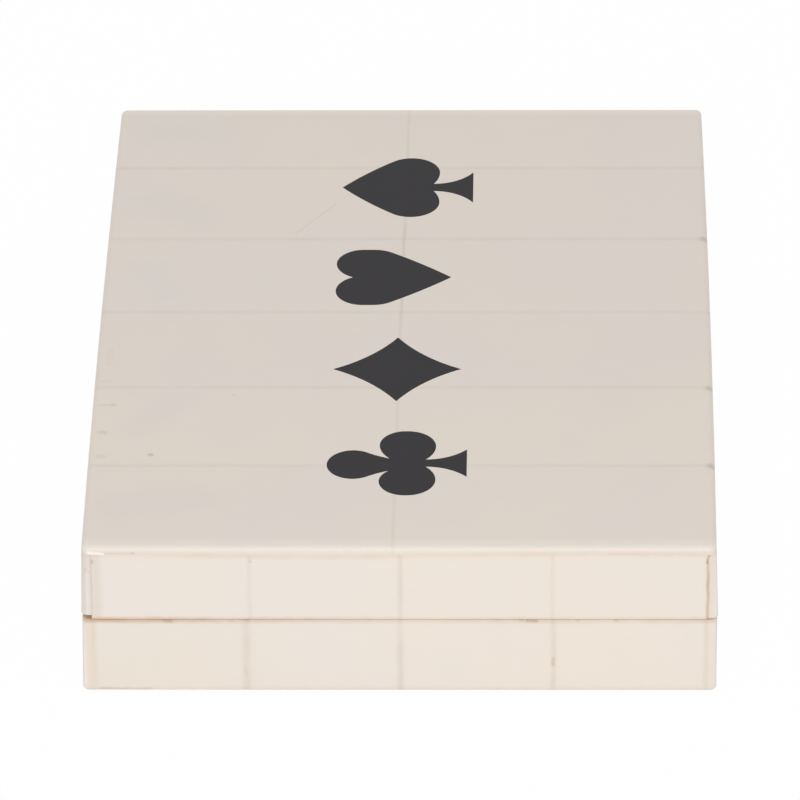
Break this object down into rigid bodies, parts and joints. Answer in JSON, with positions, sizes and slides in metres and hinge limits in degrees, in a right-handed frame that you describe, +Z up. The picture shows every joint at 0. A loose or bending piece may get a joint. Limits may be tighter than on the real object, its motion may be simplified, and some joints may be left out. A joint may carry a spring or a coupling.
{
  "type": "card and dice box",
  "caption": "Flat tile-covered box with a lift-off lid, card suits inlaid in the top, and felt-lined wells inside for playing cards and dice.",
  "frame": {"origin": "middle of the underside, on the table", "axes": "+Z up, +Y along the box from front to rear, +X to the right; the suits stand upright seen from +X"},
  "size_m": [0.1412, 0.1912, 0.039],
  "materials": {
    "bone_tile": "polished bone, satin",
    "charcoal_inlay": "charcoal resin, rubbed flush, satin",
    "core_wood": "fine sanded, thin oil",
    "lining_felt": "short wool felt",
    "foot_felt": "short wool felt",
    "playing_card": "smooth coated card",
    "die_resin": "ivory coloured resin with black pips"
  },
  "bodies": {
    "base": {"base_floor_board": "core_wood", "base_front_wall": "core_wood", "base_rear_wall": "core_wood", "base_left_wall": "core_wood", "base_right_wall": "core_wood", "base_front_tiles": "bone_tile", "base_rear_tiles": "bone_tile", "base_left_tiles": "bone_tile", "base_right_tiles": "bone_tile", "front_lip_strip": "core_wood", "rear_lip_strip": "core_wood", "left_lip_strip": "core_wood", "right_lip_strip": "core_wood", "front_divider": "core_wood", "rear_divider": "core_wood", "front_well_lining": "lining_felt", "dice_well_lining": "lining_felt", "rear_well_lining": "lining_felt", "foot_felt": "foot_felt"},
    "lid": {"lid_top_board": "core_wood", "lid_front_wall": "core_wood", "lid_rear_wall": "core_wood", "lid_left_wall": "core_wood", "lid_right_wall": "core_wood", "top_tile_1_left": "bone_tile", "top_tile_1_right": "bone_tile", "top_tile_2_left": "bone_tile", "top_tile_2_right": "bone_tile", "top_tile_3_left": "bone_tile", "top_tile_3_right": "bone_tile", "top_tile_4_left": "bone_tile", "top_tile_4_right": "bone_tile", "top_tile_5_left": "bone_tile", "top_tile_5_right": "bone_tile", "top_tile_6_left": "bone_tile", "top_tile_6_right": "bone_tile", "lid_front_tiles": "bone_tile", "lid_rear_tiles": "bone_tile", "lid_left_tiles": "bone_tile", "lid_right_tiles": "bone_tile", "spade_inlay": "charcoal_inlay", "heart_inlay": "charcoal_inlay", "diamond_inlay": "charcoal_inlay", "club_inlay": "charcoal_inlay", "lid_lining": "lining_felt"},
    "front_deck": {"front_deck": "playing_card"},
    "rear_deck": {"rear_deck": "playing_card"},
    "die_1": {"die_1": "die_resin"},
    "die_2": {"die_2": "die_resin"},
    "die_3": {"die_3": "die_resin"},
    "die_4": {"die_4": "die_resin"},
    "die_5": {"die_5": "die_resin"}
  },
  "joints": [
    {"name": "lid_lift", "type": "slide", "parent": "base", "child": "lid", "axis": [0, 0, 1], "range_m": [0, 0.15]},
    {"name": "front_deck_lift", "type": "slide", "parent": "base", "child": "front_deck", "axis": [0, 0, 1], "range_m": [0, 0.0055]},
    {"name": "rear_deck_lift", "type": "slide", "parent": "base", "child": "rear_deck", "axis": [0, 0, 1], "range_m": [0, 0.0055]},
    {"name": "die_1_lift", "type": "slide", "parent": "base", "child": "die_1", "axis": [0, 0, 1], "range_m": [0, 0.0057]},
    {"name": "die_2_lift", "type": "slide", "parent": "base", "child": "die_2", "axis": [0, 0, 1], "range_m": [0, 0.0057]},
    {"name": "die_3_lift", "type": "slide", "parent": "base", "child": "die_3", "axis": [0, 0, 1], "range_m": [0, 0.0057]},
    {"name": "die_4_lift", "type": "slide", "parent": "base", "child": "die_4", "axis": [0, 0, 1], "range_m": [0, 0.0057]},
    {"name": "die_5_lift", "type": "slide", "parent": "base", "child": "die_5", "axis": [0, 0, 1], "range_m": [0, 0.0057]}
  ]
}
